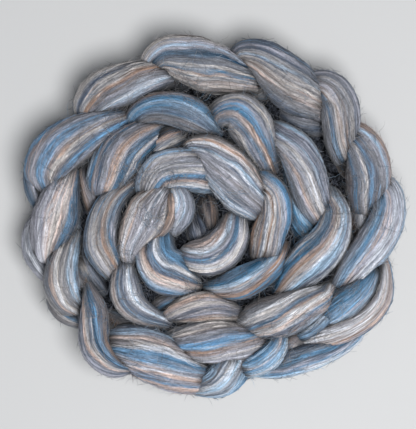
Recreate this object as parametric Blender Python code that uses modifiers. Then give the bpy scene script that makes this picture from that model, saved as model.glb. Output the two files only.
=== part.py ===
"""Braid of combed wool roving, wound into a flat spiral and laid down on its side.

One length of roving is plaited on itself into a fat braid, and the braid is coiled about
one and a half turns. Every place where the roving comes up to the top is a lobe: a tapered
swelling whose two ends dive under its neighbours. The lobes are charted by hand on a grid
of squares, x to the right and y down, and each one is a bent tube with its own width and
height at every station. The same plait shows below, where a formula lays its lobes out.
The wool is one piece, so everything is joined into one closed solid that rests flat.
"""

import math
from collections import namedtuple

import bmesh
import bpy
from mathutils import Vector

# ---- driving dimensions, in metres ------------------------------------------------------
ACROSS = 0.308               # the coil from left to right
CHART_ACROSS = 385.0         # the same width, in squares of the chart
SQUARE = ACROSS / CHART_ACROSS
MIDDLE_X = 213.5             # the square that lies over the origin, from the left
MIDDLE_Y = 217.0             # and from the top
THICK = 0.058                # crown of the top lobes above the ground
FLATNESS = 0.80              # height of a lobe's section as a share of its width
CORE_RADIUS = 0.124          # wool between the upper and the lower lobes
CORE_BOTTOM = 0.012
CORE_TOP = 0.034
GRAIN = 0.0024               # voxel that melts the lobes into one skin
FACES = 10600                # triangles kept in the finished skin

WOOL_COLOUR = (0.42, 0.45, 0.50, 1.0)
WOOL_ROUGHNESS = 0.85

# A lobe: its stations as (x, y, half width, crown), the first three in squares and the crown
# in hundredths of THICK. Lobes run clockwise round the coil, and their ends dive.
Lobe = namedtuple("Lobe", "name stations")

OUTER_LOBES = (
    Lobe("n",
         ((84, 123, 6, 42), (85, 106, 13, 82), (101, 92, 19, 97), (126, 84, 21, 100),
          (150, 78, 17, 92), (168, 76, 12, 72), (182, 76, 8, 48))),
    Lobe("a",
         ((145, 79, 6, 42), (152, 61, 12, 80), (166, 54, 17, 95), (188, 59, 24, 100),
          (213, 68, 25, 100), (236, 77, 18, 92), (254, 83, 12, 70), (266, 88, 9, 48))),
    Lobe("o1",
         ((228, 65, 6, 42), (243, 52, 12, 80), (261, 57, 18, 96), (277, 70, 23, 100),
          (294, 87, 25, 100), (311, 99, 20, 92), (326, 108, 15, 70), (338, 116, 10, 48))),
    Lobe("h0",
         ((246, 104, 4, 46), (254, 98, 6, 62), (264, 92, 7, 66), (274, 86, 5, 54))),
    Lobe("h1",
         ((276, 106, 8, 50), (292, 117, 12, 68), (309, 123, 12, 74), (325, 125, 11, 62),
          (338, 124, 7, 46))),
    Lobe("o2",
         ((298, 88, 6, 42), (318, 80, 11, 76), (332, 88, 16, 96), (340, 104, 19, 100),
          (341, 122, 19, 100), (341, 140, 16, 92), (344, 154, 13, 78), (349, 166, 10, 56))),
    Lobe("o3",
         ((338, 127, 6, 42), (354, 133, 13, 78), (364, 148, 19, 95), (369, 165, 22, 100),
          (369, 182, 22, 99), (366, 194, 20, 94), (364, 204, 16, 82), (364, 212, 11, 62),
          (364, 220, 6, 48))),
    Lobe("h3",
         ((342, 156, 5, 44), (346, 174, 8, 54), (352, 193, 10, 60), (360, 211, 8, 54),
          (368, 228, 6, 44))),
    Lobe("o4",
         ((367, 176, 6, 42), (385, 186, 13, 76), (390, 201, 16, 95), (386, 220, 18, 100),
          (375, 241, 19, 100), (361, 258, 17, 95), (350, 271, 15, 88), (343, 281, 12, 80),
          (338, 290, 9, 64), (335, 297, 6, 50))),
    Lobe("h4",
         ((374, 205, 5, 46), (366, 219, 8, 62), (357, 236, 11, 72), (349, 252, 11, 72),
          (343, 266, 8, 62), (339, 280, 5, 46))),
    Lobe("o5",
         ((379, 268, 6, 54), (371, 280, 10, 78), (360, 293, 14, 94), (346, 305, 17, 98),
          (332, 315, 16, 90), (318, 324, 11, 70), (308, 331, 6, 48))),
    Lobe("o5b",
         ((382, 252, 4, 50), (386, 264, 5, 70), (387, 278, 6, 84), (385, 292, 8, 92),
          (378, 306, 10, 96), (366, 318, 11, 97), (350, 328, 12, 95), (332, 335, 12, 92),
          (316, 339, 11, 84), (303, 343, 9, 70), (292, 347, 5, 48))),
    Lobe("h6",
         ((388, 256, 5, 44), (378, 270, 9, 60), (362, 284, 10, 62), (346, 297, 7, 50))),
    Lobe("h7",
         ((312, 332, 6, 44), (300, 340, 9, 58), (287, 350, 9, 60), (272, 360, 7, 50))),
    Lobe("o6",
         ((357, 309, 5, 40), (358, 330, 9, 70), (342, 343, 11, 84), (322, 352, 13, 90),
          (301, 359, 14, 90), (281, 365, 13, 84), (263, 369, 10, 70), (248, 372, 7, 48))),
    Lobe("r6",
         ((289, 324, 6, 46), (283, 335, 8, 70), (276, 350, 11, 92), (264, 361, 12, 97),
          (250, 367, 10, 92), (238, 368, 7, 74), (227, 368, 5, 50))),
    Lobe("r7",
         ((243, 340, 10, 46), (239, 353, 15, 72), (232, 367, 19, 90), (220, 380, 18, 92),
          (206, 386, 12, 84), (193, 388, 7, 64), (181, 379, 5, 40))),
    Lobe("l5",
         ((222, 386, 9, 46), (207, 382, 14, 68), (191, 377, 18, 88), (173, 369, 23, 98),
          (154, 358, 26, 100), (137, 348, 25, 98), (121, 343, 19, 90), (108, 342, 15, 72),
          (98, 338, 9, 50))),
    Lobe("l4",
         ((140, 372, 2, 70), (130, 371, 3, 84), (117, 369, 9, 94), (104, 360, 13, 98),
          (95, 345, 15, 100), (94, 326, 15, 100), (94, 308, 13, 94), (90, 294, 8, 82),
          (86, 281, 4, 62), (84, 272, 3, 46))),
    Lobe("c3",
         ((94, 324, 7, 46), (82, 322, 8, 62), (70, 318, 9, 68), (59, 311, 9, 66), (52, 301, 7, 60),
          (57, 288, 5, 42))),
    Lobe("l3",
         ((80, 319, 6, 46), (73, 310, 10, 70), (65, 299, 15, 90), (61, 284, 18, 98),
          (62, 266, 16, 98), (67, 250, 13, 88), (73, 236, 9, 70), (77, 224, 6, 48))),
    Lobe("l2b",
         ((60, 287, 6, 46), (49, 278, 8, 62), (40, 266, 10, 72), (33, 253, 11, 75),
          (30, 239, 9, 72), (31, 225, 7, 60), (43, 209, 5, 42))),
    Lobe("l2",
         ((57, 275, 6, 42), (47, 263, 8, 66), (46, 249, 14, 88), (50, 233, 21, 99),
          (56, 215, 24, 100), (61, 197, 20, 96), (67, 181, 13, 82), (72, 166, 8, 60),
          (76, 153, 5, 44))),
    Lobe("l1",
         ((48, 197, 5, 44), (44, 187, 11, 76), (43, 172, 20, 96), (57, 152, 24, 100),
          (80, 138, 23, 100), (101, 128, 18, 94), (119, 121, 14, 78), (134, 115, 9, 48))),
    Lobe("l1b",
         ((48, 220, 5, 42), (42, 208, 8, 64), (35, 195, 9, 78), (31, 181, 8, 80), (30, 168, 6, 66),
          (34, 156, 4, 50))),
)

INNER_LOBES = (
    Lobe("b",
         ((128, 138, 6, 46), (131, 125, 8, 66), (139, 114, 12, 88), (155, 108, 15, 98),
          (175, 109, 18, 100), (193, 115, 17, 96), (207, 124, 12, 82), (219, 134, 7, 60),
          (228, 143, 4, 44))),
    Lobe("r1",
         ((214, 127, 9, 52), (220, 113, 14, 82), (236, 111, 20, 98), (250, 124, 22, 100),
          (258, 140, 19, 96), (265, 156, 15, 82), (272, 170, 11, 62), (278, 184, 8, 46))),
    Lobe("h5",
         ((230, 130, 6, 50), (237, 139, 10, 68), (246, 149, 12, 72), (257, 161, 10, 66),
          (266, 173, 7, 50))),
    Lobe("r2",
         ((268, 124, 8, 50), (281, 135, 14, 82), (295, 149, 18, 98), (305, 168, 20, 100),
          (310, 189, 19, 98), (314, 206, 17, 90), (318, 217, 14, 80), (319, 227, 11, 58))),
    Lobe("r2b",
         ((286, 160, 5, 50), (290, 178, 8, 66), (292, 198, 11, 76), (298, 218, 14, 80),
          (309, 233, 13, 72), (322, 243, 9, 56), (333, 250, 6, 44))),
    Lobe("r3",
         ((329, 184, 7, 46), (333, 199, 11, 76), (337, 214, 14, 94), (334, 230, 17, 100),
          (324, 247, 20, 101), (309, 262, 21, 100), (294, 276, 18, 90), (283, 289, 13, 70),
          (274, 301, 8, 48))),
    Lobe("r4",
         ((337, 287, 7, 50), (333, 292, 12, 72), (325, 299, 15, 90), (313, 304, 18, 97),
          (297, 310, 21, 100), (276, 317, 22, 101), (258, 320, 19, 92), (245, 324, 12, 74),
          (235, 326, 7, 50))),
    Lobe("r4s",
         ((335, 298, 4, 56), (333, 308, 6, 78), (326, 319, 7, 88), (315, 329, 7, 88),
          (303, 336, 6, 80), (291, 340, 5, 62), (283, 342, 4, 46))),
    Lobe("r5",
         ((276, 342, 7, 46), (263, 343, 11, 70), (246, 344, 17, 90), (225, 342, 21, 99),
          (203, 341, 21, 99), (185, 340, 15, 88), (170, 340, 8, 68), (158, 340, 5, 46))),
    Lobe("m4",
         ((246, 318, 8, 46), (233, 315, 11, 70), (218, 310, 14, 88), (201, 308, 16, 94),
          (184, 310, 13, 88), (169, 315, 8, 70), (158, 320, 5, 48))),
    Lobe("m3",
         ((175, 328, 5, 46), (165, 323, 7, 66), (152, 318, 10, 82), (139, 311, 13, 92),
          (129, 301, 15, 97), (125, 288, 16, 98), (124, 275, 13, 88), (124, 264, 9, 68),
          (125, 252, 6, 46))),
    Lobe("m3b",
         ((176, 342, 6, 44), (158, 332, 8, 52), (138, 326, 7, 54), (118, 330, 6, 46))),
    Lobe("g1",
         ((112, 308, 6, 44), (104, 296, 8, 58), (95, 282, 10, 66), (88, 268, 10, 70),
          (84, 253, 8, 66), (82, 238, 6, 50))),
    Lobe("g2",
         ((190, 296, 5, 50), (178, 299, 9, 66), (166, 303, 10, 70), (156, 309, 8, 64),
          (150, 316, 5, 50))),
    Lobe("m2",
         ((113, 281, 6, 46), (110, 271, 11, 74), (105, 259, 15, 92), (100, 246, 17, 98),
          (101, 228, 16, 99), (107, 209, 14, 95), (118, 194, 11, 84), (132, 184, 8, 68),
          (144, 176, 6, 48))),
    Lobe("s1",
         ((100, 228, 6, 50), (96, 216, 9, 64), (92, 202, 10, 71), (87, 188, 9, 73),
          (83, 174, 8, 66), (81, 160, 6, 50))),
    Lobe("m1",
         ((97, 201, 6, 46), (99, 192, 11, 70), (103, 181, 18, 90), (111, 166, 22, 99),
          (122, 152, 23, 101), (138, 141, 20, 98), (152, 134, 15, 86), (162, 129, 10, 66),
          (170, 126, 6, 48))),
    Lobe("m1b",
         ((138, 160, 6, 50), (149, 151, 10, 74), (161, 143, 13, 86), (173, 137, 12, 78),
          (184, 134, 8, 60), (192, 132, 5, 46))),
)

CENTRE_LOBES = (
    Lobe("i3",
         ((184, 150, 7, 55), (195, 147, 13, 84), (209, 152, 19, 98), (224, 166, 24, 101),
          (239, 184, 24, 100), (250, 198, 21, 96), (258, 206, 17, 88), (262, 212, 12, 74),
          (266, 218, 8, 54))),
    Lobe("i2",
         ((146, 200, 8, 50), (149, 184, 15, 86), (160, 172, 20, 98), (178, 169, 21, 100),
          (196, 171, 22, 94), (212, 176, 19, 74), (226, 182, 12, 46))),
    Lobe("i4",
         ((252, 172, 7, 50), (264, 181, 12, 80), (275, 196, 14, 94), (275, 216, 16, 98),
          (269, 234, 17, 98), (266, 246, 16, 92), (263, 255, 13, 74), (261, 264, 9, 50))),
    Lobe("i5",
         ((292, 238, 7, 46), (285, 251, 10, 70), (275, 264, 12, 88), (258, 275, 15, 97),
          (239, 284, 16, 99), (223, 287, 12, 86), (210, 287, 8, 66), (200, 287, 5, 46))),
    Lobe("i6",
         ((203, 289, 6, 46), (192, 286, 11, 72), (179, 279, 19, 92), (165, 269, 25, 101),
          (157, 256, 22, 99), (157, 242, 17, 86), (160, 229, 11, 62), (163, 218, 6, 46))),
    Lobe("i1",
         ((128, 267, 5, 50), (128, 257, 9, 76), (130, 247, 13, 92), (139, 231, 20, 99),
          (151, 213, 24, 100), (162, 197, 16, 92), (170, 186, 8, 74), (176, 176, 5, 50))),
    Lobe("i1b",
         ((171, 235, 7, 50), (173, 226, 11, 78), (178, 215, 15, 93), (181, 203, 14, 97),
          (178, 192, 10, 92), (173, 183, 4, 74))),
    Lobe("i1c",
         ((171, 190, 4, 84), (172, 199, 5, 94), (172, 211, 5, 96), (168, 223, 6, 94),
          (161, 232, 5, 88), (151, 240, 4, 76))),
    Lobe("i7",
         ((236, 213, 9, 54), (234, 225, 15, 82), (230, 238, 19, 96), (220, 250, 21, 100),
          (208, 256, 20, 99), (196, 257, 17, 94), (187, 255, 12, 82), (181, 252, 7, 60))),
    Lobe("curl",
         ((205, 192, 9, 60), (207, 204, 11, 66), (209, 216, 10, 70), (211, 228, 7, 68),
          (213, 238, 4, 56))),
    Lobe("curl_b",
         ((193, 209, 4, 56), (195, 220, 9, 68), (198, 231, 12, 74), (200, 240, 11, 70),
          (201, 249, 6, 54))),
)

# The lobes of the underside and of the rim, in rings round the middle: radius of the ring,
# half width and half length of a lobe, how many there are, how far each one turns from the
# ring, and how much its clockwise end is above its belly and its other end below it.
Ring = namedtuple("Ring", "radius half_width half_length count lean climb belly")
PRESSED = -0.0030            # height of a lower lobe's belly: the ground flattens it
RIM_BELLY = 0.0170           # height of the belly of a lobe that wraps round the rim
UNDER_RINGS = (
    Ring(0.1180, 0.0180, 0.0300, 15, math.radians(26.0), 0.0, PRESSED),
    Ring(0.0870, 0.0170, 0.0290, 11, math.radians(-32.0), 0.0, PRESSED),
    Ring(0.0560, 0.0170, 0.0270, 7, math.radians(30.0), 0.0, PRESSED),
    Ring(0.0280, 0.0150, 0.0220, 4, math.radians(-32.0), 0.0, PRESSED),
    Ring(0.0000, 0.0160, 0.0220, 1, math.radians(30.0), 0.0, PRESSED),
    Ring(0.1190, 0.0150, 0.0300, 14, math.radians(-8.0), 0.0110, RIM_BELLY),
)
SPINDLE = ((-1.0, 0.30), (-0.55, 0.82), (0.0, 1.0), (0.55, 0.82), (1.0, 0.30))
SPINDLE_LIFT = 0.010         # how far both ends of a ring's lobe rise above its belly


def clear_scene():
    for thing in list(bpy.data.objects):
        bpy.data.objects.remove(thing, do_unlink=True)


def new_collection(name):
    collection = bpy.data.collections.new(name)
    bpy.context.scene.collection.children.link(collection)
    return collection


def wool_material():
    material = bpy.data.materials.new("wool_roving")
    material.use_nodes = True
    shader = material.node_tree.nodes["Principled BSDF"]
    shader.inputs["Base Color"].default_value = WOOL_COLOUR
    shader.inputs["Roughness"].default_value = WOOL_ROUGHNESS
    shader.inputs["Metallic"].default_value = 0.0
    return material


def oval_section(collection):
    """The section that every lobe is swept with: one metre half width, a little flattened."""
    curve = bpy.data.curves.new("lobe_section", "CURVE")
    curve.dimensions = "2D"
    spline = curve.splines.new("POLY")
    corners = 14
    spline.points.add(corners - 1)
    for index, point in enumerate(spline.points):
        angle = 2.0 * math.pi * index / corners
        point.co = (math.cos(angle), FLATNESS * math.sin(angle), 0.0, 1.0)
    spline.use_cyclic_u = True
    section = bpy.data.objects.new("lobe_section", curve)
    section.hide_render = True
    section.display_type = "WIRE"
    collection.objects.link(section)
    return section


def swept_lobe(name, points, section, collection):
    """A bent tube through points given as (place, half width), made into a closed mesh."""
    curve = bpy.data.curves.new(name, "CURVE")
    curve.dimensions = "3D"
    curve.twist_mode = "Z_UP"
    curve.resolution_u = 5
    curve.bevel_mode = "OBJECT"
    curve.bevel_object = section
    curve.use_fill_caps = True
    spline = curve.splines.new("BEZIER")
    spline.bezier_points.add(len(points) - 1)
    for bezier, (place, half_width) in zip(spline.bezier_points, points):
        bezier.co = place
        bezier.radius = half_width
        bezier.handle_left_type = "AUTO"
        bezier.handle_right_type = "AUTO"
    lobe = bpy.data.objects.new(name, curve)
    collection.objects.link(lobe)
    bpy.context.view_layer.update()
    evaluated = lobe.evaluated_get(bpy.context.evaluated_depsgraph_get())
    mesh = bpy.data.meshes.new_from_object(evaluated)
    bpy.data.objects.remove(lobe, do_unlink=True)
    weld_caps(mesh)
    solid = bpy.data.objects.new(name, mesh)
    collection.objects.link(solid)
    return solid


def weld_caps(mesh):
    model = bmesh.new()
    model.from_mesh(mesh)
    bmesh.ops.remove_doubles(model, verts=model.verts, dist=0.00001)
    bmesh.ops.recalc_face_normals(model, faces=model.faces)
    model.to_mesh(mesh)
    model.free()


def top_points(lobe):
    """The lobe's stations in metres, with the middle of each section under its crown."""
    points = []
    for x, y, half, crown in lobe.stations:
        half_width = half * SQUARE
        place = Vector(((x - MIDDLE_X) * SQUARE, (MIDDLE_Y - y) * SQUARE,
                        THICK * crown / 100.0 - FLATNESS * half_width))
        points.append((place, half_width))
    return points


def ring_points(ring, index):
    """One lobe of a ring: a short spindle that leans across the ring and may climb."""
    turn = 2.0 * math.pi * index / ring.count
    centre = Vector((math.cos(turn), math.sin(turn), 0.0)) * ring.radius
    heading = turn - math.pi / 2.0 - ring.lean
    along = Vector((math.cos(heading), math.sin(heading), 0.0)) * ring.half_length
    points = []
    for share, fullness in SPINDLE:
        half_width = ring.half_width * fullness
        belly = ring.belly + SPINDLE_LIFT * share * share + ring.climb * share
        height = Vector((0.0, 0.0, belly + FLATNESS * half_width))
        points.append((centre + along * share + height, half_width))
    return points


def wool_core(collection):
    """The wool that lies unseen between the upper and the lower lobes."""
    middle = 0.5 * (CORE_BOTTOM + CORE_TOP)
    bpy.ops.mesh.primitive_cylinder_add(vertices=48, radius=CORE_RADIUS,
                                        depth=CORE_TOP - CORE_BOTTOM, location=(0, 0, middle))
    core = bpy.context.active_object
    core.name = "core"
    for owner in list(core.users_collection):
        owner.objects.unlink(core)
    collection.objects.link(core)
    return core


def join_pieces(pieces):
    bpy.ops.object.select_all(action="DESELECT")
    for piece in pieces:
        piece.select_set(True)
    bpy.context.view_layer.objects.active = pieces[0]
    bpy.ops.object.join()
    joined = bpy.context.view_layer.objects.active
    joined.matrix_world.identity()
    return joined


def apply_modifier(thing, kind, **settings):
    modifier = thing.modifiers.new(kind.lower(), kind)
    for setting, value in settings.items():
        setattr(modifier, setting, value)
    bpy.context.view_layer.objects.active = thing
    bpy.ops.object.modifier_apply(modifier=modifier.name)


def melt_together(braid):
    """One skin over all the lobes, at the detail that the main folds need."""
    apply_modifier(braid, "REMESH", mode="VOXEL", voxel_size=GRAIN)
    apply_modifier(braid, "SMOOTH", factor=0.5, iterations=2)
    triangles = sum(len(face.vertices) - 2 for face in braid.data.polygons)
    apply_modifier(braid, "DECIMATE", ratio=FACES / triangles, use_collapse_triangulate=True)


def rest_on_ground(mesh):
    """Cut the pressed bellies level at the ground and keep the one outer skin."""
    model = bmesh.new()
    model.from_mesh(mesh)
    everything = model.verts[:] + model.edges[:] + model.faces[:]
    cut = bmesh.ops.bisect_plane(model, geom=everything, plane_co=(0, 0, 0),
                                 plane_no=(0, 0, -1), clear_outer=True)
    rim = [edge for edge in cut["geom_cut"] if isinstance(edge, bmesh.types.BMEdge)]
    bmesh.ops.contextual_create(model, geom=rim)
    bmesh.ops.triangulate(model, faces=model.faces)
    bmesh.ops.recalc_face_normals(model, faces=model.faces)
    keep_largest_skin(model)
    model.to_mesh(mesh)
    model.free()


def keep_largest_skin(model):
    """Fill closed pockets inside the wool by dropping every skin but the outer one."""
    waiting = set(model.faces)
    skins = []
    while waiting:
        skin = {waiting.pop()}
        edge_of_skin = list(skin)
        while edge_of_skin:
            face = edge_of_skin.pop()
            for edge in face.edges:
                for neighbour in edge.link_faces:
                    if neighbour in waiting:
                        waiting.discard(neighbour)
                        skin.add(neighbour)
                        edge_of_skin.append(neighbour)
        skins.append(skin)
    skins.sort(key=len)
    inner = [face for skin in skins[:-1] for face in skin]
    bmesh.ops.delete(model, geom=inner, context="FACES")


def make_braid(collection, guides):
    section = oval_section(guides)
    pieces = []
    for lobe in OUTER_LOBES + INNER_LOBES + CENTRE_LOBES:
        pieces.append(swept_lobe(lobe.name, top_points(lobe), section, collection))
    for ring in UNDER_RINGS:
        for index in range(ring.count):
            pieces.append(swept_lobe("ring", ring_points(ring, index), section, collection))
    pieces.append(wool_core(collection))
    braid = join_pieces(pieces)
    braid.name = "braid"
    braid.data.name = "braid"
    melt_together(braid)
    rest_on_ground(braid.data)
    braid.data.materials.clear()
    braid.data.materials.append(wool_material())
    braid.data.shade_smooth()
    return braid


def main():
    clear_scene()
    collection = new_collection("braid_of_wool_roving")
    guides = new_collection("guides")
    make_braid(collection, guides)


main()
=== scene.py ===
"""Braid of combed wool roving: the streaked, fibrous wool over the plaited coil.

Every lobe of the plait is a tapered tube of combed fibres. It follows the same chart of
squares as its solid, and its colours run along it as bands, listed across the lobe from its
outer side to its inner side. Fine fibres lie along the lobes and stray from their edges.
"""
from collections import namedtuple
from math import atan2, cos, hypot, pi, radians, sin, sqrt

import bpy
import numpy as np
from mathutils.bvhtree import BVHTree
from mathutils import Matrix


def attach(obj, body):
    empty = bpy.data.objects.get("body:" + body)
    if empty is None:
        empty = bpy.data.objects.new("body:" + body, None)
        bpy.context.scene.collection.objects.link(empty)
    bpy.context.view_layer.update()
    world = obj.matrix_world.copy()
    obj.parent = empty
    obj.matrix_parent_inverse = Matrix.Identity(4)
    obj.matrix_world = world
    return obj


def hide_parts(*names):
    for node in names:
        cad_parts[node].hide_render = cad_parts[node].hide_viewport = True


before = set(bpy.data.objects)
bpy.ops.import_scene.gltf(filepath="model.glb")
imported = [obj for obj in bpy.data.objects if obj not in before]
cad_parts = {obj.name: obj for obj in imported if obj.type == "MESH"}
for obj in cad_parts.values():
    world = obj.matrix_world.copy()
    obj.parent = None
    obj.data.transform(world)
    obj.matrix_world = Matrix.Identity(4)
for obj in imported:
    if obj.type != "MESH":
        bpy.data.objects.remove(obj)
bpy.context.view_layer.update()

# ---- sizes, in metres ----
SQUARE = 0.0008              # a square of the chart
MIDDLE_X = 213.5             # the square over the origin, from the left
MIDDLE_Y = 217.0             # and from the top
VIEW_X = 208.0               # the square in the middle of the camera's view
VIEW_Y = 214.5
VIEW_WIDE = 416              # squares across the view
VIEW_LEVEL = 0.045           # the height at which the view is that wide
VIEW_DISTANCE = 1.30         # from that height up to the camera
THICK = 0.058                # crown of the top lobes above the ground
FLATNESS = 0.80              # height of a lobe's section as a share of its width
CORE_RADIUS = 0.122          # the near-black wool at the bottom of the gaps, painted shade
CORE_BOTTOM = 0.012
CORE_TOP = 0.034
PAINTED_GAP_SHADE = 0.04             # painted shade: what is left of a tone deep between the lobes
PAINTED_DIVE_SHADE = 0.45             # and the painted shade where a lobe dives under the next one
END_LENGTH = 0.010           # how far from its tip that painted shade lifts
TIP_LENGTH = 1.6             # length of a tip's rounding as a share of its half width
COLUMNS = 122                # columns of strands round a lobe
ROW_LENGTH = 0.0029          # rows of faces along a lobe
RING_COLUMNS = 40            # the lobes of the underside are plainer
RING_ROW_LENGTH = 0.0040
LOCK_LENGTH = 0.022          # length of the locks of fibre that make the streaks
LOCK_RIDGE = 0.00045         # how far the locks rise and sink
STRAND_RIDGE = 0.00022       # and single strands
RIDGED_HALF = 0.012          # half width of a lobe whose ridges have their full height
LOWEST_SKIN = 0.0004         # the skin stays this far above the ground
LOWEST_EDGE_FIBRE = 0.0006   # and so do the fibres at the edges
LOWEST_FLYAWAY = 0.0008      # and the loose ones
FIBRE_TOP = THICK + 0.004    # no fibre reaches higher
SKY_RAY_COUNT = 22           # rays that feel for the open sky
SKY_RAY_LENGTH = 0.045
EVEN_TURN = 2.39996          # radians between two rays, which spreads them evenly
THIRDS = (0.0, 2.0944, 4.1888)   # the corners of a fibre's section, in radians
LYING_FIBRES = 3400          # in each of the two pieces of them
EDGE_FIBRES = 7800
LYING_RADII = (0.00010, 0.00021)     # least and greatest radius of the fibres
EDGE_RADII = (0.00009, 0.00018)
FLYAWAY_RADII = (0.00008, 0.00014)
EDGE_LENGTHS = (0.002, 0.0075)       # least and greatest length
FLYAWAY_LENGTHS = (0.006, 0.020)
PAINTED_SHADE_LEVEL = 0.030            # painted shade: loose fibres are dimmest up to this height
PAINTED_SHADE_DEPTH = 0.022            # and brighten out of the painted shade over this much more

# ---- dyed tones of the fibres, as they look in even daylight; dark is painted shade ----
TONES = {
    # painted shade for wool lying deep in the gaps and at hidden lobe edges
    "dark": (48, 50, 58),
    "deep": (32, 80, 108),
    "blue": (56, 120, 158),
    "azure": (78, 142, 186),
    "ice": (152, 185, 212),
    "slate": (88, 100, 118),
    "grey": (126, 128, 134),
    "lilac": (162, 161, 174),
    "taupe": (126, 114, 108),
    "tan": (170, 132, 104),
    "peach": (206, 174, 156),
    "cream": (194, 184, 176),
    "white": (214, 216, 224),
}

LIGHT_STRENGTH = 0.95        # how far the bands stand out from the heathered grey
TINT_STRENGTH = 0.64         # and how far their tints do
BAND_WIDTHS = (0.55, 1.45)   # least and greatest width of a band beside an even one
BAND_WANDER = 0.55           # how far a band wanders, in bands
STRAND_WANDER = 0.38         # how far its strands do
HAIR_WANDER = 0.22           # and its single hairs
LOCKS_A_BAND = 3             # locks of fibre laid over the bands, for each band
FRIZZ_SCALE = (1500.0, 700.0, 1.0)   # curls to the metre, across and along the fibres

# A lobe: its name in the chart, its stations as (x, y, half width, crown), the first three in
# squares and the crown in hundredths of THICK, running clockwise round the coil, its bands of
# tone from the outer side to the inner side at half its length, and the twist of its fibres
# in degrees, which carries the bands outward along the way.
Lobe = namedtuple("Lobe", "name stations bands twist")

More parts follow.
